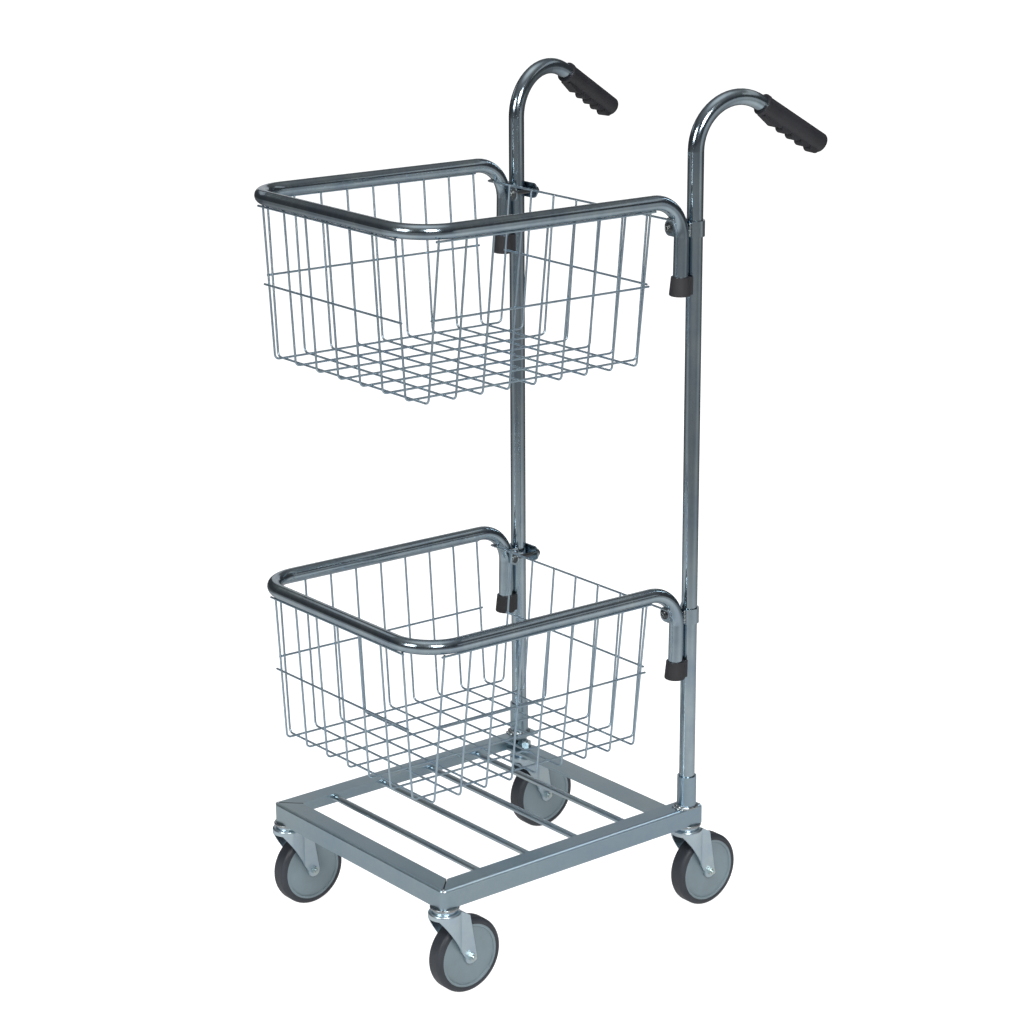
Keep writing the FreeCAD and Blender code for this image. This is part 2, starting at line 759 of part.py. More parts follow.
LEG_SPAN = "tube_diameter / 2 + clamp_clearance + clamp_strap + clamp_weld_gap + rim_tube_diameter / 2"
RIM_HEIGHT = {"lower": f"{FRAME_TOP} + lower_rim_rise", "upper": "handle_bend_height - upper_rim_drop"}


def leg_y():
    forward = size("clamp_clearance") + size("clamp_strap") + size("clamp_weld_gap")
    forward += (size("tube_diameter") + size("rim_tube_diameter")) / 2
    return upright_place(1).y - forward


def rim_front():
    return -size("base_length") / 2 - size("rim_front_overhang")


def at_basket(thing, basket):
    """Lift a piece to its rim's height, turned about the clamps so that the basket's front stands higher."""
    leg = f"({UPRIGHT_Y} - ({LEG_SPAN}))"
    thing.Placement.Rotation = FreeCAD.Rotation(Vector(1, 0, 0), -size("basket_tilt"))
    bind(thing, "Placement.Base.y", f"{leg} * (1 - cos(basket_tilt)) + clamp_drop * sin(basket_tilt)")
    bind(thing, "Placement.Base.z",
         f"{RIM_HEIGHT[basket]} - clamp_drop * (1 - cos(basket_tilt)) + {leg} * sin(basket_tilt)")


def make_rim(basket):
    """One tube: leg, side, front, side, leg."""
    span, front, rear = upright_place(1).x, rim_front(), leg_y()
    foot = -size("leg_drop") + size("cap_floor")
    corners = [Vector(span, rear, foot), Vector(span, rear, 0), Vector(span, front, 0)]
    corners += [Vector(-p.x, p.y, p.z) for p in reversed(corners)]
    rear_radius, front_radius = size("rim_rear_radius"), size("rim_corner_radius")
    path = bent_path(corners, [rear_radius, front_radius, front_radius, rear_radius])
    tube = swept(path, size("rim_tube_diameter"), size("tube_wall"))
    at_basket(feature_of(tube, f"{basket}_rim", f"{basket}_rim"), basket)


def spread(count, first, last):
    """Even places from the first to the last."""
    return [first + (last - first) * i / (count - 1) for i in range(int(count))]


class BasketShape:
    """Where the wires of a basket run."""

    def __init__(self):
        wire, gap, tube = size("wire_diameter"), size("weld_gap"), size("rim_tube_diameter") / 2
        self.step = wire + gap
        self.top = -tube - gap
        self.bottom = -size("basket_depth")
        self.front = rim_front()
        self.side = upright_place(1).x
        # the wires under the rim stand outside the wall wires and touch the tube from below
        self.band_top = -math.sqrt((tube + gap + wire / 2) ** 2 - self.step ** 2)
        # the rear top wire lies in the hollow of the two rear bends
        radius, angle = size("rim_rear_radius"), math.radians(size("rear_top_angle"))
        inward = radius - tube - gap - wire / 2
        self.rear_wire = leg_y() - radius + inward * math.cos(angle)
        self.rear_top = -radius + inward * math.sin(angle)
        self.rear = self.rear_wire - self.step
        outermost = self.side - size("long_wire_inset")
        self.long_x = spread(size("long_wire_count"), -outermost, outermost)
        self.cross_y = spread(size("cross_wire_count"), self.front + size("cross_wire_front_inset"),
                              leg_y() - size("cross_wire_rear_inset"))

    def slope(self, inset, top, height):
        """How far a sloping wall has come in at a height below its top."""
        return inset * (top - height) / (top - self.bottom)


def make_wires(basket):
    shape = BasketShape()
    wire, bend = size("wire_diameter"), size("wire_bend_radius")
    front_foot = shape.front + size("front_wall_inset")
    rear_foot = shape.rear - size("rear_wall_inset")
    side_foot = shape.side - size("side_wall_inset")
    lowest = shape.bottom - shape.step
    long_wires = []
    for x in shape.long_x:
        points = [Vector(x, shape.front, shape.top), Vector(x, front_foot, shape.bottom),
                  Vector(x, rear_foot, shape.bottom), Vector(x, shape.rear, shape.rear_top)]
        long_wires.append(swept(bent_path(points, [bend, bend]), wire))
    cross_wires = []
    for y in shape.cross_y:
        points = [Vector(-shape.side, y, shape.top), Vector(-side_foot, y, lowest),
                  Vector(side_foot, y, lowest), Vector(shape.side, y, shape.top)]
        cross_wires.append(swept(bent_path(points, [bend, bend]), wire))
    for name, wires in (("long_wires", long_wires), ("cross_wires", cross_wires)):
        group = feature_of(Part.makeCompound(wires), f"{basket}_{name}", f"{basket}_{name}")
        at_basket(group, basket)


def make_band_wires(basket):
    """Straight wires round the walls: one under the rim and one half way down each wall."""
    shape = BasketShape()
    stub, wire = size("wire_stub"), size("wire_diameter")
    across = shape.long_x[-1] + wire / 2 + stub
    first, last = shape.cross_y[0] - wire / 2 - stub, shape.cross_y[-1] + wire / 2 + stub
    end_mid, side_mid = -size("end_mid_drop"), -size("side_mid_drop")
    front_mid = shape.front + shape.slope(size("front_wall_inset"), shape.top, end_mid) - shape.step
    rear_mid = shape.rear - shape.slope(size("rear_wall_inset"), shape.rear_top, end_mid) + shape.step
    half_mid = shape.side - shape.slope(size("side_wall_inset"), shape.top, side_mid) + shape.step
    rear_half = shape.side + size("rear_top_overhang")
    front_top = shape.front - shape.step
    runs = [
        (Vector(-across, front_top, shape.band_top), Vector(across, front_top, shape.band_top)),
        (Vector(-across, front_mid, end_mid), Vector(across, front_mid, end_mid)),
        (Vector(-rear_half, shape.rear_wire, shape.rear_top),
         Vector(rear_half, shape.rear_wire, shape.rear_top)),
        (Vector(-across, rear_mid, end_mid), Vector(across, rear_mid, end_mid)),
    ]
    for sign in (-1, 1):
        for x, z in ((shape.side + shape.step, shape.band_top), (half_mid, side_mid)):
            runs.append((Vector(sign * x, first, z), Vector(sign * x, last, z)))
    wires = [Part.makeCylinder(wire / 2, (b - a).Length, a, b - a) for a, b in runs]
    group = feature_of(Part.makeCompound(wires), f"{basket}_band_wires", f"{basket}_band_wires")
    at_basket(group, basket)


def make_cap(basket, side, sign):
    """Tapered rubber cap on the foot of a rim leg, with a heel that stands beside the upright."""
    body = new_body(f"{basket}_{side}_cap")
    sketch = new_sketch(body, "XZ_Plane", "0")
    bore = "rim_tube_diameter / 2 + cap_clearance"
    outline(sketch, [
        ("0", "0"), ("cap_bottom_diameter / 2", "0"), ("cap_top_diameter / 2", "cap_height"),
        (bore, "cap_height"), (bore, "cap_floor"), ("0", "cap_floor"),
    ])
    revolve(body, sketch, "Z_Axis")
    low = size("cap_bottom_diameter") / 2
    round_edges(body, "cap_floor / 2", lambda edge: is_ring(edge, low))
    below_clamp = "leg_drop - clamp_drop"
    upright_away = f"{LEG_SPAN} + ({below_clamp} - cap_height / 2) * sin(basket_tilt)"
    sketch = new_sketch(body, "XY_Plane", "(cap_height - cap_heel_height) / 2")
    rectangle(sketch, "-cap_heel_width / 2", "cap_heel_width / 2", f"{bore} + cap_clearance", upright_away)
    pad(body, sketch, "cap_heel_height")
    sketch = new_sketch(body, "XY_Plane")
    circle(sketch, "0", upright_away, "tube_diameter + 2 * slide_clearance + cap_height * sin(basket_tilt)")
    pocket(body, sketch, upward=True)
    finish(body, f"{basket}_{side}_cap")
    body.Placement.Rotation = FreeCAD.Rotation(Vector(1, 0, 0), -size("basket_tilt"))
    place(body, f"{sign} * {UPRIGHT_X}",
          f"{UPRIGHT_Y} - ({LEG_SPAN}) - ({below_clamp}) * sin(basket_tilt)",
          f"{RIM_HEIGHT[basket]} - clamp_drop - ({below_clamp}) * cos(basket_tilt)")


def make_clamp(basket, side, sign):
    """Strap bent round the upright: one ear behind it, the other brought forward beside the rim's leg."""
    body = new_body(f"{basket}_{side}_clamp")
    height = f"{RIM_HEIGHT[basket]} - clamp_drop - clamp_height / 2"
    inner = "tube_diameter / 2 + clamp_clearance"
    outer = f"{inner} + clamp_strap"
    web = "rim_tube_diameter / 2 + clamp_weld_gap"
    ear = f"{-sign} * clamp_ear_end"
    front = f"-({outer} + clamp_ear_lead)"
    sketch = new_sketch(body, "XY_Plane")
    circle(sketch, "0", "0", f"2 * ({outer})")
    pad(body, sketch, "clamp_height")
    sketch = new_sketch(body, "XY_Plane")
    outline(sketch, [("0", inner), (ear, inner), (ear, outer), ("0", outer)])
    outline(sketch, [
        ("0", f"-({outer})"), (f"{-sign} * ({web})", f"-({outer})"), (f"{-sign} * ({web})", front),
        (ear, front), (ear, f"{front} + clamp_strap"),
        (f"{-sign} * ({web} + clamp_strap)", f"{front} + clamp_strap"),
        (f"{-sign} * ({web} + clamp_strap)", f"-({inner})"), ("0", f"-({inner})"),
    ])
    pad(body, sketch, "clamp_height")
    sketch = new_sketch(body, "XY_Plane")
    circle(sketch, "0", "0", f"2 * ({inner})")
    pocket(body, sketch, upward=True)
    sketch = new_sketch(body, "XY_Plane")
    past = f"{-sign} * (clamp_ear_end + clamp_strap)"
    outline(sketch, [("0", f"-({inner})"), (past, f"-({inner})"), (past, inner), ("0", inner)])
    pocket(body, sketch, upward=True)
    # rounded ear ends, and the bolt hole through both ears
    ear_end = size("clamp_ear_end")

    def is_ear_corner(edge):
        box = edge.BoundBox
        return box.YLength > 1 and box.ZLength < 0.01 and near(abs(edge.CenterOfMass.x), ear_end)

    round_edges(body, "clamp_height / 2.3", is_ear_corner)
    sketch = new_sketch(body, "XZ_Plane")
    circle(sketch, f"{-sign} * clamp_bolt_offset", "clamp_height / 2",
           "clamp_bolt_diameter + 2 * clamp_hole_clearance")
    pocket(body, sketch, both_ways=True)
    finish(body, f"{basket}_{side}_clamp")
    place(body, f"{sign} * {UPRIGHT_X}", UPRIGHT_Y, height)


def clamp_bolt(sign):
    """Round-headed bolt with its nut, head to the front, as two solids on their own axis."""
    rear = size("tube_diameter") / 2 + size("clamp_clearance") + size("clamp_strap") + size("weld_gap")
    front = rear + size("clamp_ear_lead")
    back, ahead = Vector(0, 1, 0), Vector(0, -1, 0)
    shank_end = rear + size("clamp_nut_height") + size("clamp_bolt_end")
    shank = Part.makeCylinder(size("clamp_bolt_diameter") / 2, front + shank_end, ahead * front, back)
    head_radius, head_height = size("clamp_head_diameter") / 2, size("clamp_head_height")
    dome_radius = (head_radius ** 2 + head_height ** 2) / (2 * head_height)
    dome = Part.makeSphere(dome_radius, ahead * (front + head_height - dome_radius))
    reach = 2 * head_radius
    keep = Part.makeBox(2 * reach, reach, 2 * reach, Vector(-reach, -front - reach, -reach))
    bolt = shank.fuse(dome.common(keep)).removeSplitter()
    corner = size("clamp_nut_flats") / 2 / math.cos(math.radians(30))
    points = [Vector(corner * math.cos(math.radians(60 * i)), rear, corner * math.sin(math.radians(60 * i)))
              for i in range(7)]
    nut = Part.Face(Part.makePolygon(points)).extrude(back * size("clamp_nut_height"))
    bore = Part.makeCylinder(size("clamp_bolt_diameter") / 2 + size("seat_gap"), 2 * shank_end, Vector(), back)
    nut = nut.cut(bore)
    spot = upright_place(sign) - Vector(sign * size("clamp_bolt_offset"), 0, size("clamp_drop"))
    moved = []
    for solid in (bolt, nut):
        solid.translate(spot)
        moved.append(solid)
    return moved


def make_basket(basket):
    make_rim(basket)
    make_wires(basket)
    make_band_wires(basket)
    for side, sign in (("left", -1), ("right", 1)):
        make_cap(basket, side, sign)
        make_clamp(basket, side, sign)
    bolts = feature_of(Part.makeCompound(clamp_bolt(-1) + clamp_bolt(1)), f"{basket}_clamp_bolts",
                       f"{basket}_clamp_bolts")
    bind(bolts, "Placement.Base.z", RIM_HEIGHT[basket])


# The whole trolley

make_base_frame()
make_cross_bar("front_cross_bar", -1)
make_cross_bar("rear_cross_bar", 1)
make_deck_rods()
for side, sign in (("left", -1), ("right", 1)):
    make_socket(side, sign)
    tube_end, down_grip = make_upright(side, sign)
    make_grip(side, sign, tube_end, down_grip)
for corner, x_sign, y_sign in (("front_left", -1, -1), ("front_right", 1, -1),
                               ("rear_left", -1, 1), ("rear_right", 1, 1)):
    make_caster(corner, x_sign, y_sign)
make_caster_group("kingpin_nuts", kingpin_nut())
make_caster_group("swivel_balls", ball_ring())
for basket in ("lower", "upper"):
    make_basket(basket)
doc.recompute()

for thing in doc.Objects:
    if "Invalid" in thing.State or "Error" in thing.State:
        raise RuntimeError(f"{thing.Label} failed: {thing.State}")
for label, thing in pieces.items():
    if thing.Shape.isNull() or not thing.Shape.isValid():
        raise RuntimeError(f"{label} has no valid shape")

os.makedirs("parts", exist_ok=True)
for label, thing in pieces.items():
    thing.Shape.exportStep(f"parts/{label}.step")
print(len(pieces), "sub-parts")
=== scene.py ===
import bpy
import bmesh
import json
import math
import random
from mathutils import Matrix, Vector


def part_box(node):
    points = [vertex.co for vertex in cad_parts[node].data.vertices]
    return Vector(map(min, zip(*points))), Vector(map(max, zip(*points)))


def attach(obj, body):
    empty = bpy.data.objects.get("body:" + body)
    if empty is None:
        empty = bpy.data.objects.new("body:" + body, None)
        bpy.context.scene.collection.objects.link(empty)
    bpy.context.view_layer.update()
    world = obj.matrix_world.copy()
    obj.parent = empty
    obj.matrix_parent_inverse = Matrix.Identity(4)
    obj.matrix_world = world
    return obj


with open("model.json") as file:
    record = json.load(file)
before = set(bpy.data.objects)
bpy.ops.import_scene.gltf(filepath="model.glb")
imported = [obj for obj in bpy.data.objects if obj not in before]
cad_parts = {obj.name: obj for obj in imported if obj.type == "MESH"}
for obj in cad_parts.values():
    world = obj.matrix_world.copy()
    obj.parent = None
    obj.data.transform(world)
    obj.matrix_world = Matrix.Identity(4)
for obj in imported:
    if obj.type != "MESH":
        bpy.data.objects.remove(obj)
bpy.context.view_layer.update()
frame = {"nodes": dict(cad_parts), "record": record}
NODES = frame["nodes"]
random.seed(7)


# Materials. Lengths are in metres, here and below.

EVEN, ALONG_X, ALONG_Z = (1, 1, 1), (0.06, 1, 1), (1, 1, 0.06)
NOISE_ROUGHNESS = 0.55
NOISE_MIDDLE = (0.3, 0.7)
PLATE_BLUE, PLATE_GREY = (0.94, 0.98, 1.05), (1.05, 1.02, 0.96)
PLATE_STOPS = (0.32, 0.68)
PLATE_STREAKS = 0.3
PLATE_GLOSS = (-0.03, 0.04)
PLATE_DEPTH = 0.0002
MOULD_CLOUD = 26.0
MOULD_GLOSS = 0.07
MOULD_RELIEF = 0.35
MOULD_SPECULAR = 0.4
SHEET = 0.0031
MITRE_EDGE = 0.00132
# Near black for the cut faces in the mitre slits: painted shade.
MITRE_SHADE_COLOUR = (0.03, 0.026, 0.024)
# How much the folds of the sheet are brightened: a painted highlight.
FOLD_HIGHLIGHT_GAIN = 1.75
RACE_FROM, RACE_TO, RACE_ROUGH = 0.113, 0.119, 0.3
MIX_COLOUR_A, MIX_COLOUR_B, MIX_COLOUR_RESULT = 6, 7, 2

PLATED = {
    "zinc_sheet": dict(colour=(0.387, 0.495, 0.562), rough=0.31, cloud=7.0, contrast=0.08, relief=0.012),
    "zinc_tube": dict(colour=(0.388, 0.474, 0.535), rough=0.16, cloud=22.0, contrast=0.15, stretch=ALONG_Z,
                      relief=0.012),
    "zinc_rod": dict(colour=(0.56, 0.67, 0.735), rough=0.31, cloud=12.0, stretch=ALONG_X, relief=0.015),
    "zinc_wire": dict(colour=(0.46, 0.58, 0.67), rough=0.42, cloud=18.0, relief=0.03),
    "zinc_caster": dict(colour=(0.64, 0.765, 0.84), rough=0.42, cloud=30.0, contrast=0.06),
    "zinc_fastener": dict(colour=(0.66, 0.75, 0.76), rough=0.32, cloud=60.0, contrast=0.15),
    "zinc_race": dict(colour=(0.44, 0.475, 0.49), rough=0.28, cloud=40.0, contrast=0.06),
    "clamp_bolt": dict(colour=(0.13, 0.14, 0.145), rough=0.36, cloud=60.0, contrast=0.15),
    "bearing_steel": dict(colour=(0.6, 0.6, 0.6), rough=0.12, cloud=60.0, contrast=0.06),
    "weld": dict(colour=(0.5, 0.55, 0.575), rough=0.28, cloud=160.0, grain=900.0, contrast=0.25, relief=0.2),
}
MOULDED = {
    # Near black, for the bolt sockets and the weld roots under the mitres: painted shade.
    "painted_shade_dark": dict(colour=(0.035, 0.03, 0.028), rough=0.6, grain=900.0, depth=0.0003, contrast=0.3),
    "hub_plastic": dict(colour=(0.18, 0.235, 0.262), rough=0.45, grain=700.0, depth=0.0002, contrast=0.08),
    "tyre_rubber": dict(colour=(0.034, 0.039, 0.048), rough=0.44, grain=500.0, depth=0.0004, contrast=0.2),
    "grip_plastic": dict(colour=(0.0195, 0.02, 0.024), rough=0.42, grain=1500.0, depth=0.0004),
    "cap_rubber": dict(colour=(0.026, 0.026, 0.029), rough=0.5, grain=900.0, depth=0.0003),
}
# Nodes whose look is not the one of their material slot, by the end of their name.
SPECIAL = {"_top_race": "zinc_race", "_clamp_bolts": "clamp_bolt", "_clamp": "zinc_tube"}


def link(tree, source, output, target, socket):
    tree.links.new(source.outputs[output], target.inputs[socket])


def new_material(name):
    material = bpy.data.materials.new(name)
    material.use_nodes = True
    return material, *shader_of(material)


def shader_of(material):
    return material.node_tree, material.node_tree.nodes["Principled BSDF"]


def coordinates(tree, output):
    """A texture coordinate, split into X, Y and Z."""
    split = tree.nodes.new("ShaderNodeSeparateXYZ")
    link(tree, tree.nodes.new("ShaderNodeTexCoord"), output, split, "Vector")
    return split


def noise(tree, place, scale, detail, stretch=EVEN):
    """A noise texture in metres, drawn out along an axis by a small stretch number."""
    mapping = tree.nodes.new("ShaderNodeMapping")
    mapping.inputs["Scale"].default_value = stretch
    link(tree, place, "Object", mapping, "Vector")
    texture = tree.nodes.new("ShaderNodeTexNoise")
    texture.inputs["Scale"].default_value = scale
    texture.inputs["Detail"].default_value = detail
    texture.inputs["Roughness"].default_value = NOISE_ROUGHNESS
    link(tree, mapping, "Vector", texture, "Vector")
    return texture


def ramp(tree, source, output, stops):
    """A colour ramp; a new one has two stops, and the others are added."""
    node = tree.nodes.new("ShaderNodeValToRGB")
    elements = node.color_ramp.elements
    for i, (place, colour) in enumerate(stops):
        element = elements[i] if i < 2 else elements.new(place)
        element.position = place
        element.color = (*colour, 1)
    link(tree, source, output, node, "Fac")
    return node


def map_range(tree, source, output, start, end, low=0.0, high=1.0):
    node = tree.nodes.new("ShaderNodeMapRange")
    for socket, value in {"From Min": start, "From Max": end, "To Min": low, "To Max": high}.items():
        node.inputs[socket].default_value = value
    link(tree, source, output, node, "Value")
    return node


def calculate(tree, operation, first, second=None):
    """A maths node on node outputs or plain numbers."""
    node = tree.nodes.new("ShaderNodeMath")
    node.operation = operation
    for socket, value in zip(node.inputs, (first, second)):
        if isinstance(value, (int, float)):
            socket.default_value = value
        elif value is not None:
            tree.links.new(value, socket)
    return node.outputs["Value"]


def bump(tree, shader, texture, strength, distance):
    node = tree.nodes.new("ShaderNodeBump")
    node.inputs["Strength"].default_value = strength
    node.inputs["Distance"].default_value = distance
    link(tree, texture, "Fac", node, "Height")
    link(tree, node, "Normal", shader, "Normal")


def shade(colour, factor):
    return tuple(min(1.0, c * factor) for c in colour)


def tint(colour, factors):
    return tuple(c * k for c, k in zip(colour, factors))


def grey(value):
    return (value, value, value)


def plated(name, colour, rough, cloud, grain=420.0, contrast=0.1, stretch=EVEN, relief=0.05):
    """Zinc plate: clouds that shift between blue and grey, fine streaks in the gloss, and a faint grain."""
    material, tree, shader = new_material(name)
    place = tree.nodes.new("ShaderNodeTexCoord")
    clouds = noise(tree, place, cloud, 5.0)
    streaks = noise(tree, place, grain / 3, 3.0, stretch)
    mix = tree.nodes.new("ShaderNodeMix")
    mix.data_type = "FLOAT"
    mix.inputs["Factor"].default_value = PLATE_STREAKS
    link(tree, clouds, "Fac", mix, "A")
    link(tree, streaks, "Fac", mix, "B")
    dark = tint(shade(colour, 1 - contrast), PLATE_BLUE)
    light = tint(shade(colour, 1 + contrast), PLATE_GREY)
    tone = ramp(tree, mix, "Result", list(zip(PLATE_STOPS, (dark, light))))
    link(tree, tone, "Color", shader, "Base Color")
    gloss = map_range(tree, streaks, "Fac", *NOISE_MIDDLE, *(rough + change for change in PLATE_GLOSS))
    link(tree, gloss, "Result", shader, "Roughness")
    shader.inputs["Metallic"].default_value = 1.0
    bump(tree, shader, noise(tree, place, grain, 2.0, stretch), relief, PLATE_DEPTH)
    return material


def moulded(name, colour, rough, grain, depth, contrast=0.15):
    """Plastic or rubber: a grained skin with a little bloom in its colour."""
    material, tree, shader = new_material(name)
    place = tree.nodes.new("ShaderNodeTexCoord")
    clouds = noise(tree, place, MOULD_CLOUD, 4.0)
    shades = (shade(colour, 1 - contrast), shade(colour, 1 + contrast))
    tone = ramp(tree, clouds, "Fac", list(zip(NOISE_MIDDLE, shades)))
    link(tree, tone, "Color", shader, "Base Color")
    gloss = map_range(tree, clouds, "Fac", *NOISE_MIDDLE, rough - MOULD_GLOSS, rough + MOULD_GLOSS)
    link(tree, gloss, "Result", shader, "Roughness")
    shader.inputs["Specular IOR Level"].default_value = MOULD_SPECULAR
    bump(tree, shader, noise(tree, place, grain, 2.0), MOULD_RELIEF, depth)
    return material


def mix_colour(tree, shader, factor, colour=None, gain=None):
    """Blend the shader's colour towards another one, or towards a brighter shade of itself."""
    tone = shader.inputs["Base Color"].links[0].from_socket
    mix = tree.nodes.new("ShaderNodeMix")
    mix.data_type = "RGBA"
    mix.blend_type = "MIX" if colour else "MULTIPLY"
    tree.links.new(factor, mix.inputs["Factor"])
    tree.links.new(tone, mix.inputs[MIX_COLOUR_A])
    mix.inputs[MIX_COLOUR_B].default_value = (*(colour or grey(gain)), 1)
    tree.links.new(mix.outputs[MIX_COLOUR_RESULT], shader.inputs["Base Color"])


def paint_fold_highlights(material):
    """A painted highlight: the sheet's colour is brightened where its normal leans between level and upright,
    on the folds, in place of the light they would catch.
    """
    tree, shader = shader_of(material)
    rise = calculate(tree, "MAXIMUM", coordinates(tree, "Normal").outputs["Z"], 0.0)
    square = calculate(tree, "MULTIPLY", rise, rise)
    level = calculate(tree, "SQRT", calculate(tree, "SUBTRACT", 1.0, square))
    fold = calculate(tree, "MULTIPLY", calculate(tree, "MULTIPLY", rise, level), 2.0)
    mix_colour(tree, shader, calculate(tree, "MINIMUM", fold, 1.0), gain=FOLD_HIGHLIGHT_GAIN)


def paint_mitre_shade(material):
    """The cut faces in the open mitres of the frame are painted near black: painted shade in the slits."""
    tree, shader = shader_of(material)
    split = coordinates(tree, "Object")
    x, y, z = (split.outputs[axis] for axis in "XYZ")
    low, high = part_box("base_frame")
    along = calculate(tree, "ADD", calculate(tree, "ABSOLUTE", x), y)
    away = calculate(tree, "ABSOLUTE", calculate(tree, "SUBTRACT", along, high.x + low.y))
    inside = calculate(tree, "MULTIPLY", calculate(tree, "LESS_THAN", away, MITRE_EDGE),
                       calculate(tree, "GREATER_THAN", z, high.z - SHEET))
    mix_colour(tree, shader, inside, colour=MITRE_SHADE_COLOUR)


def smooth_races(material):
    """The race on top of a castor fork is smoother than the pressed sheet below it."""
    tree, shader = shader_of(material)
    share = map_range(tree, coordinates(tree, "Object"), "Z", RACE_FROM, RACE_TO)
    mix = tree.nodes.new("ShaderNodeMix")
    mix.data_type = "FLOAT"
    link(tree, share, "Result", mix, "Factor")
    tree.links.new(shader.inputs["Roughness"].links[0].from_socket, mix.inputs["A"])
    mix.inputs["B"].default_value = RACE_ROUGH
    link(tree, mix, "Result", shader, "Roughness")


MATERIALS = {name: plated(name, **look) for name, look in PLATED.items()}
MATERIALS.update((name, moulded(name, **look)) for name, look in MOULDED.items())
# Painted highlight along the folds of the sheet.
paint_fold_highlights(MATERIALS["zinc_sheet"])
smooth_races(MATERIALS["zinc_caster"])
# Painted shade in the mitre slits.
paint_mitre_shade(MATERIALS["zinc_sheet"])

for part in frame["record"]["subparts"]:
    node = NODES[part["node"]]
    special = (name for ending, name in SPECIAL.items() if part["node"].endswith(ending))
    node.data.materials.clear()
    node.data.materials.append(MATERIALS[next(special, part["material_slot"])])


# Welds, and the bolt sockets: metal rims with painted shade inside

WIRE = 0.003
GAP = 0.0001

BEAD_SIDES = 8
BEAD_STEP = 0.0016
BEAD_RIPPLE, RIPPLE_TURN = 0.2, 1.9
BEAD_UNEVEN = 0.12
BEAD_TAPER = 0.45
BEAD_ASIDE = Vector((0.3, 0.5, 0.81))
NUGGET_UNEVEN = (0.88, 1.12)

SOCKET_POINTS = 44
SOCKET_RISE, SOCKET_OUT = 0.0009, 0.0006
SOCKET_RADIUS, SOCKET_SWELL = 0.0021, 0.0013
SOCKET_LUMPS = ((-0.006, 0.0166), (0.001, 0.0178), (0.0075, 0.0162))
SOCKET_LUMP_DROP, SOCKET_LUMP_SIZE = 0.0004, (0.0042, 0.0032, 0.002)

TACK_INSET, TACK_DROP, TACK_SIZE = 0.0052, 0.0007, (0.0034, 0.0026, 0.0018)
DRIP_OUT, DRIP_FORWARD, DRIP_DROP, DRIP_SIZE = 0.0014, 0.0012, 0.0017, (0.0022, 0.0022, 0.0022)
ROOT_INSETS, ROOT_DROP, ROOT_RADIUS = (0.0065, 0.029), 0.0043, 0.0017
ROD_BESIDE, ROD_INSET, ROD_DROP = 0.0037, 0.002, 0.0011
ROD_BEAD, ROD_RADIUS = 0.017, 0.0015
BAR_INSET, BAR_FRONT, BAR_REAR, BAR_RISE, BAR_RADIUS = 0.0006, 0.012, 0.006, 0.0004, 0.0019

SPOT_SIZE = (0.0015, 0.0015, 0.0013)
REAR_BACK, REAR_RISE, REAR_ENDS, REAR_RADIUS = 0.0005, 0.0004, (0.1805, 0.1945), 0.0021
SEAM_ASIDE, SEAM_BACK, SEAM_TRIM, SEAM_RADIUS = 0.0051, 0.0122, 0.0015, 0.0019

BOLT_LENGTH = 0.02
HEX_RADIUS, HEX_DEPTH, HEX_PROUD = 0.0031, 0.0012, 0.0001
HEX_EDGE, HEX_EDGE_STEPS = 0.00045, 4


def bead(mesh, path, radius, closed=False, ripple=BEAD_RIPPLE):
    """A weld bead along a path: a tube that swells and sinks with each pool of metal."""
    count = len(path)
    sizes = radius if isinstance(radius, list) else [radius] * count
    turns = [2 * math.pi * k / BEAD_SIDES for k in range(BEAD_SIDES)]
    rings = []
    for i, point in enumerate(path):
        before = path[i - 1] if i or closed else point
        after = path[(i + 1) % count] if i + 1 < count or closed else point
        along = (after - before).normalized()
        side = along.cross(BEAD_ASIDE).normalized()
        up = along.cross(side)
        swell = sizes[i] * (1 + ripple * math.sin(i * RIPPLE_TURN) + BEAD_UNEVEN * random.uniform(-1, 1))
        if not closed and i in (0, count - 1):
            swell *= BEAD_TAPER
        rings.append([mesh.verts.new(point + (side * math.cos(t) + up * math.sin(t)) * swell) for t in turns])
    pairs = list(zip(rings, rings[1:]))
    if closed:
        pairs.append((rings[-1], rings[0]))
    for low, high in pairs:
        for k in range(BEAD_SIDES):
            following = (k + 1) % BEAD_SIDES
            mesh.faces.new((low[k], low[following], high[following], high[k]))
    if not closed:
        mesh.faces.new(list(reversed(rings[0])))
        mesh.faces.new(rings[-1])


def nugget(mesh, centre, size, detail=1):
    """A drop of weld metal, a little different each time."""
    stretch = [s * random.uniform(*NUGGET_UNEVEN) for s in size]
    turn = Matrix.Rotation(random.uniform(0, math.pi), 4, "Z") if size[0] == size[1] else Matrix()
    place = Matrix.Translation(centre) @ turn @ Matrix.Diagonal((*stretch, 1))
    bmesh.ops.create_icosphere(mesh, subdivisions=detail, radius=1, matrix=place)


def finish_welds(mesh, name, body, look="weld"):
    """Turn a mesh into a piece of the scene that rides on a body."""
    bmesh.ops.recalc_face_normals(mesh, faces=mesh.faces)
    data = bpy.data.meshes.new(name)
    mesh.to_mesh(data)
    mesh.free()
    data.shade_smooth()
    data.materials.append(MATERIALS[look])
    piece = bpy.data.objects.new(name, data)
    bpy.context.scene.collection.objects.link(piece)
    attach(piece, body)


def straight(a, b):
    count = max(3, round((b - a).length / BEAD_STEP))
    return [a.lerp(b, i / (count - 1)) for i in range(count)]


def loose_boxes(name):
    """The boxes of the separate solids in a node."""
    mesh = bmesh.new()
    mesh.from_mesh(NODES[name].data)
    bmesh.ops.remove_doubles(mesh, verts=mesh.verts, dist=1e-6)
    seen, boxes = set(), []
    for first in mesh.verts:
        if first in seen:
            continue
        seen.add(first)
        todo, found = [first], []
        while todo:
            vert = todo.pop()
            found.append(vert.co.copy())
            for edge in vert.link_edges:
                other = edge.other_vert(vert)
                if other not in seen:
                    seen.add(other)
                    todo.append(other)
        boxes.append((Vector([min(p[i] for p in found) for i in range(3)]),
                      Vector([max(p[i] for p in found) for i in range(3)])))
    mesh.free()
    return boxes


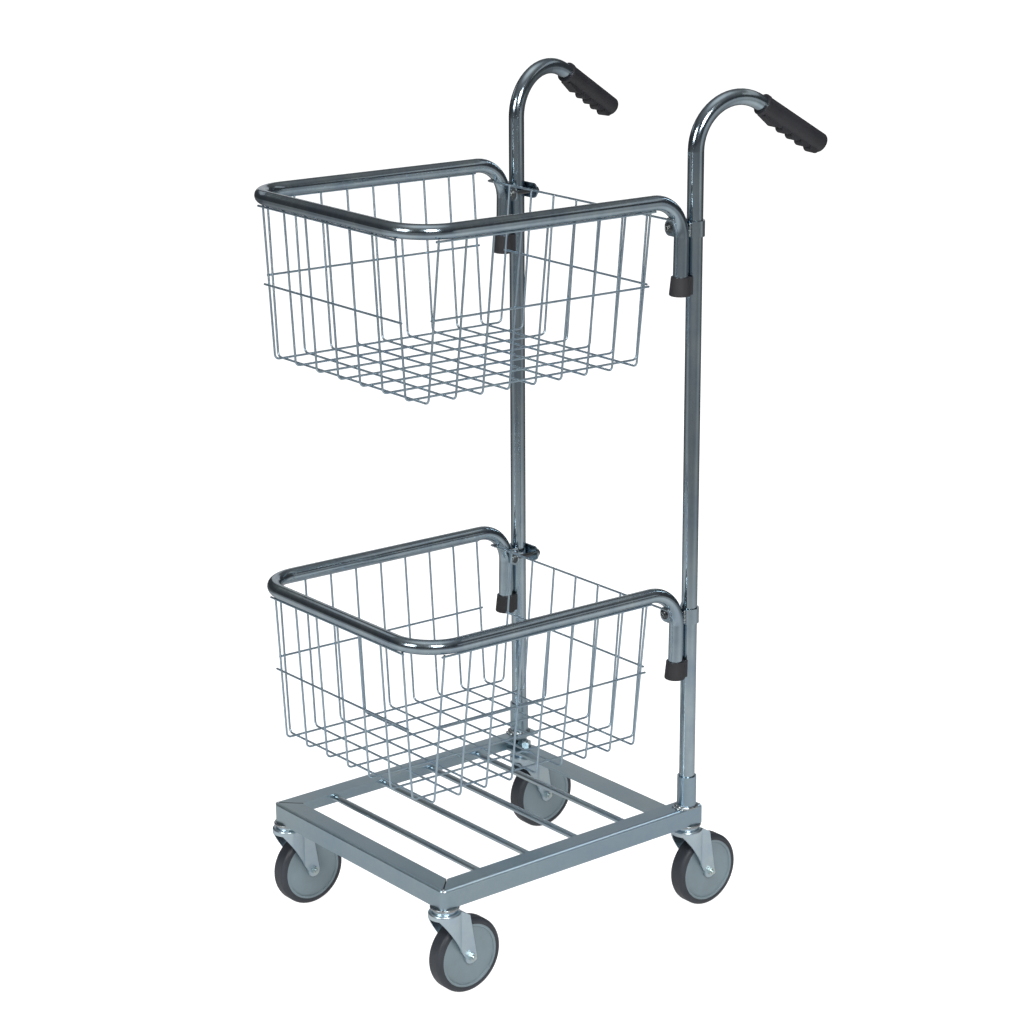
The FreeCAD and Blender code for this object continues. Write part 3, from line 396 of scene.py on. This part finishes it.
def socket_welds():
    """A thick uneven bead round each socket's foot, heaviest towards the front."""
    mesh = bmesh.new()
    for side in ("left", "right"):
        low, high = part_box(f"{side}_socket")
        centre = Vector(((low.x + high.x) / 2, (low.y + high.y) / 2, low.z + SOCKET_RISE))
        reach = (high.x - low.x) / 2 + SOCKET_OUT
        turns = [2 * math.pi * i / SOCKET_POINTS for i in range(SOCKET_POINTS)]
        path = [centre + Vector((math.cos(t), math.sin(t), 0)) * reach for t in turns]
        bead(mesh, path, [SOCKET_RADIUS + SOCKET_SWELL * max(0, -math.sin(t)) for t in turns], closed=True)
        for across, out in SOCKET_LUMPS:
            nugget(mesh, centre + Vector((across, -out, -SOCKET_LUMP_DROP)), SOCKET_LUMP_SIZE, detail=2)
    finish_welds(mesh, "socket_welds", "chassis")


def frame_welds():
    """Tacks and root beads at the open mitres, and beads at the ends of the rods and bars. The root beads
    under the slits are coloured near black: painted shade, seen through the slits.
    """
    mesh, shaded_roots = bmesh.new(), bmesh.new()
    low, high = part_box("base_frame")
    for x in (low.x, high.x):
        inward = -math.copysign(1, x)
        tack = Vector((x + inward * TACK_INSET, low.y + TACK_INSET, high.z - TACK_DROP))
        nugget(mesh, tack, TACK_SIZE, detail=2)
        nugget(mesh, tack + Vector((-inward * DRIP_OUT, -DRIP_FORWARD, -DRIP_DROP)), DRIP_SIZE, detail=2)
        root = [Vector((x + inward * inset, low.y + inset, high.z - ROOT_DROP)) for inset in ROOT_INSETS]
        bead(shaded_roots, straight(*root), ROOT_RADIUS)
    # The root beads take the near-black painted shade.
    finish_welds(shaded_roots, "mitre_roots_painted_shade", "chassis", "painted_shade_dark")
    for rod_low, rod_high in loose_boxes("deck_rods"):
        middle = (rod_low.y + rod_high.y) / 2
        for end in (rod_low.x, rod_high.x):
            inward = -math.copysign(1, end)
            for beside in (-ROD_BESIDE, ROD_BESIDE):
                start = Vector((end + inward * ROD_INSET, middle + beside, rod_high.z - ROD_DROP))
                bead(mesh, straight(start, start + Vector((inward * ROD_BEAD, 0, 0))), ROD_RADIUS)
    for name in ("front_cross_bar", "rear_cross_bar"):
        bar_low, bar_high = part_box(name)
        for end in (bar_low.x + BAR_INSET, bar_high.x - BAR_INSET):
            bead(mesh, straight(Vector((end, bar_low.y + BAR_FRONT, bar_high.z + BAR_RISE)),
                                Vector((end, bar_high.y - BAR_REAR, bar_high.z + BAR_RISE))), BAR_RADIUS)
    finish_welds(mesh, "frame_welds", "chassis")


def crossings(basket):
    """Where the wires of a basket touch each other."""
    longs, crosses, bands = (loose_boxes(f"{basket}_{kind}_wires") for kind in ("long", "cross", "band"))
    half = WIRE / 2
    places = [Vector(((long_low.x + long_high.x) / 2, low.y + half, low.z + WIRE + GAP / 2))
              for long_low, long_high in longs for low, _ in crosses]
    for low, high in bands:
        middle = (low + high) / 2
        if high.x - low.x > high.y - low.y:
            inner = high.y if middle.y < 0 else low.y
            places += [Vector(((a.x + b.x) / 2, inner, middle.z)) for a, b in longs]
            continue
        inner = high.x if middle.x < 0 else low.x
        for a, b in crosses:
            share = (middle.z - a.z) / (b.z - a.z)
            y = a.y + half + share * (b.y - a.y - WIRE)
            fall = (y - low.y) / (high.y - low.y) * (high.z - low.z - WIRE)
            places.append(Vector((inner, y, high.z - half - fall)))
    return places


def basket_welds(basket):
    """Spot welds where the wires cross, and beads at the rear wire's ends and along the clamps."""
    mesh = bmesh.new()
    for place in crossings(basket):
        nugget(mesh, place, SPOT_SIZE)
    low, high = max(loose_boxes(f"{basket}_band_wires"), key=lambda box: box[1].x)
    rear = Vector((0, (low.y + high.y) / 2 + REAR_BACK, (low.z + high.z) / 2 + REAR_RISE))
    for side in ("left", "right"):
        sign = -1 if side == "left" else 1
        ends = [rear + Vector((sign * x, 0, 0)) for x in REAR_ENDS]
        bead(mesh, straight(*ends), REAR_RADIUS)
        clamp_low, clamp_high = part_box(f"{basket}_{side}_clamp")
        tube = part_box(f"{side}_socket")
        across = (tube[0].x + tube[1].x) / 2 + sign * SEAM_ASIDE
        heights = (clamp_low.z + SEAM_TRIM, clamp_high.z - SEAM_TRIM)
        seam = [Vector((across, clamp_low.y + SEAM_BACK, z)) for z in heights]
        bead(mesh, straight(*seam), SEAM_RADIUS)
    finish_welds(mesh, f"{basket}_basket_welds", f"{basket}_basket")


def bolt_socket_shade(basket):
    """The hexagon socket in each clamp bolt's head, with its bright metal edge; the socket itself is a
    near-black hexagon just proud of the head: painted shade in place of a recess.
    """
    rims, socket_shade = bmesh.new(), bmesh.new()
    for low, high in loose_boxes(f"{basket}_clamp_bolts"):
        if high.y - low.y < BOLT_LENGTH:
            continue
        face = Vector(((low.x + high.x) / 2, low.y - HEX_PROUD, (low.z + high.z) / 2))
        corners = [math.pi * k / 3 for k in range(6)]
        ring = [face + Vector((math.cos(t), 0, math.sin(t))) * HEX_RADIUS for t in corners]
        points = [a.lerp(b, i / HEX_EDGE_STEPS) for a, b in zip(ring, ring[1:] + ring[:1])
                  for i in range(HEX_EDGE_STEPS)]
        bead(rims, points, HEX_EDGE, closed=True, ripple=0.0)
        # A near-black hexagonal plate on the head: painted shade of the socket.
        front = [socket_shade.verts.new(p - Vector((0, HEX_PROUD, 0))) for p in ring]
        back = [socket_shade.verts.new(p + Vector((0, HEX_DEPTH, 0))) for p in ring]
        socket_shade.faces.new(front)
        socket_shade.faces.new(list(reversed(back)))
        for k in range(6):
            socket_shade.faces.new((front[k], back[k], back[(k + 1) % 6], front[(k + 1) % 6]))
    body = f"{basket}_basket"
    finish_welds(rims, f"{basket}_bolt_rims", body, "zinc_fastener")
    finish_welds(socket_shade, f"{basket}_bolt_socket_shade", body, "painted_shade_dark")


socket_welds()
frame_welds()
for basket in ("lower", "upper"):
    basket_welds(basket)
    bolt_socket_shade(basket)


# Floor, lights and camera

FLOOR_SIZE, FLOOR_GREY, FLOOR_ROUGH = 60, 0.36, 0.9
FLOOR_GLOW = 1.0
MIRROR_HEIGHT = -0.001
DOME_RADIUS = 29
RAYS = ("camera", "diffuse", "glossy", "transmission", "volume_scatter", "shadow")
# The mirrored floor's glow by the distance from the trolley, and its share by the distance towards the camera.
POOL_REACH = 8.0
POOL = [(0.0, 0.5), (0.45, 0.6), (0.8, 0.76), (1.2, 0.76), (2.0, 0.46), (2.6, 0.36), (3.4, 0.5), (5.0, 0.42),
        (7.5, 0.2)]
POOL_FADE = [(-1.4, 0.3), (0.25, 1.0), (0.85, 1.0), (1.7, 0.55), (2.8, 0.5), (3.6, 0.75)]
# The room's light by height, from the horizon to straight up.
ROOM = [(0.0, (0.055, 0.057, 0.06)), (0.35, (0.063, 0.065, 0.068)), (0.6, (0.14, 0.14, 0.14)),
        (0.85, (0.24, 0.24, 0.24)), (1.0, (0.9, 0.9, 0.9))]

AZIMUTH, ELEVATION, ROLL = math.radians(51.08), math.radians(17.40), math.radians(-0.31)
EYE = Vector((2.85402, -2.25586, 1.69882))
FOCAL_PIXELS, IMAGE_SIZE, SENSOR = 2773.52, 1024, 36.0
CENTRE_PIXEL = (512.39, 534.55)
CLIP_END = 200


def show_to(thing, rays):
    for ray in RAYS:
        setattr(thing, f"visible_{ray}", ray in rays)


def glowing(name, base=0.0):
    """A stage material with a glow of its own, which isn't sampled as a lamp."""
    material, tree, shader = new_material(name)
    material.cycles.emission_sampling = "NONE"
    shader.inputs["Base Color"].default_value = (*grey(base), 1)
    shader.inputs["Specular IOR Level"].default_value = 0.0
    shader.inputs["Emission Color"].default_value = (1, 1, 1, 1)
    shader.inputs["Emission Strength"].default_value = FLOOR_GLOW
    return material, tree, shader


def stage_plane(name, material, height, rays):
    bpy.ops.mesh.primitive_plane_add(size=FLOOR_SIZE, location=(0, 0, height))
    plane = bpy.context.object
    plane.name = name
    show_to(plane, rays)
    plane.data.materials.append(material)


def make_floor():
    """A pale floor that glows a little, so that it stays pale far behind the trolley."""
    material, _, shader = glowing("floor", FLOOR_GREY)
    shader.inputs["Roughness"].default_value = FLOOR_ROUGH
    stage_plane("floor", material, 0, ("camera", "diffuse", "transmission", "shadow"))


def make_floor_glow():
    """What the metal mirrors of the floor: a lit pool round the trolley that fades into a dim room."""
    material, tree, shader = glowing("floor_mirror")
    place = tree.nodes.new("ShaderNodeTexCoord")
    distance = tree.nodes.new("ShaderNodeVectorMath")
    distance.operation = "LENGTH"
    link(tree, place, "Object", distance, "Vector")
    reach = map_range(tree, distance, "Value", 0.0, POOL_REACH)
    pool = ramp(tree, reach, "Result", [(at / POOL_REACH, grey(glow)) for at, glow in POOL])
    link(tree, pool, "Color", shader, "Emission Color")
    ahead = tree.nodes.new("ShaderNodeVectorMath")
    ahead.operation = "DOT_PRODUCT"
    ahead.inputs[1].default_value = (math.sin(AZIMUTH), -math.cos(AZIMUTH), 0)
    link(tree, place, "Object", ahead, "Vector")
    start, end = POOL_FADE[0][0], POOL_FADE[-1][0]
    span = map_range(tree, ahead, "Value", start, end)
    fade = ramp(tree, span, "Result", [((at - start) / (end - start), grey(part)) for at, part in POOL_FADE])
    link(tree, fade, "Color", shader, "Emission Strength")
    stage_plane("floor_mirror", material, MIRROR_HEIGHT, ("glossy",))


def make_backdrop():
    """A pale dome that only the camera sees, above and behind the floor."""
    bpy.ops.mesh.primitive_uv_sphere_add(segments=48, ring_count=24, radius=DOME_RADIUS)
    dome = bpy.context.object
    dome.name = "backdrop"
    show_to(dome, ("camera",))
    dome.data.materials.append(glowing("backdrop")[0])


def make_world():
    """A dim room: dark at eye height, a little lighter towards the ceiling."""
    world = bpy.data.worlds.new("studio")
    bpy.context.scene.world = world
    world.use_nodes = True
    tree = world.node_tree
    sky = ramp(tree, coordinates(tree, "Generated"), "Z", ROOM)
    background = tree.nodes["Background"]
    link(tree, sky, "Color", background, "Color")
    background.inputs["Strength"].default_value = 1.0


def softbox(name, place, aim, size, power, glossy=True):
    data = bpy.data.lights.new(name, "AREA")
    data.shape = "RECTANGLE"
    data.size, data.size_y = size
    data.energy = power
    lamp = bpy.data.objects.new(name, data)
    lamp.location = place
    lamp.rotation_euler = (Vector(aim) - Vector(place)).to_track_quat("-Z", "Y").to_euler()
    lamp.visible_camera = False
    lamp.visible_glossy = glossy
    bpy.context.scene.collection.objects.link(lamp)
    return lamp


def light_only(lamp, node):
    """Let a lamp light one node and nothing else."""
    lit = bpy.data.collections.new(f"{lamp.name}_lit")
    lit.objects.link(NODES[node])
    lamp.light_linking.receiver_collection = lit


def make_lights():
    softbox("top_light", (0.2, -0.2, 3.4), aim=(0, 0, 0.5), size=(2.0, 2.0), power=56, glossy=False)
    softbox("key_light", (3.6, -1.6, 3.1), aim=(0, 0, 0.5), size=(1.5, 1.5), power=120)
    softbox("fill_light", (0.4, -4.2, 2.6), aim=(0, 0, 0.5), size=(1.6, 1.6), power=70)
    softbox("back_light", (-3.6, 2.9, 1.7), aim=(0, 0, 0.6), size=(3.2, 1.8), power=9)
    softbox("left_panel", (-1.1, -0.22, 1.5), aim=(0, -0.22, 0.45), size=(0.56, 0.26), power=0.2)
    softbox("rear_panel", (0.5, 1.05, 1.8), aim=(0.4, 0, 1.78), size=(1.3, 0.36), power=0.6)
    softbox("side_card", (1.75, 1.05, 0.93), aim=(0.4, 0, 0.8), size=(1.0, 0.55), power=0.6)
    fold_light = softbox("fold_light", (0.8, 1.2, 1.65), aim=(0.2, 0, 0.15), size=(1.2, 0.6), power=2.6)
    light_only(fold_light, "base_frame")


def make_camera():
    """A camera where the photograph's stood, with the same framing."""
    back = Vector((math.sin(AZIMUTH) * math.cos(ELEVATION), -math.cos(AZIMUTH) * math.cos(ELEVATION),
                   math.sin(ELEVATION)))
    level = Vector((math.cos(AZIMUTH), math.sin(AZIMUTH), 0))
    upright = back.cross(level)
    right = level * math.cos(ROLL) + upright * math.sin(ROLL)
    up = upright * math.cos(ROLL) - level * math.sin(ROLL)
    data = bpy.data.cameras.new("camera")
    data.sensor_width = SENSOR
    data.sensor_fit = "HORIZONTAL"
    data.lens = FOCAL_PIXELS / IMAGE_SIZE * SENSOR
    data.shift_x = (IMAGE_SIZE / 2 - CENTRE_PIXEL[0]) / IMAGE_SIZE
    data.shift_y = (CENTRE_PIXEL[1] - IMAGE_SIZE / 2) / IMAGE_SIZE
    data.clip_end = CLIP_END
    camera = bpy.data.objects.new("camera", data)
    rows = [(right[i], up[i], back[i], EYE[i]) for i in range(3)]
    camera.matrix_world = Matrix((*rows, (0, 0, 0, 1)))
    bpy.context.scene.collection.objects.link(camera)
    bpy.context.scene.camera = camera


make_floor()
make_floor_glow()
make_backdrop()
make_world()
make_lights()
make_camera()
bpy.context.scene.view_settings.view_transform = "Standard"
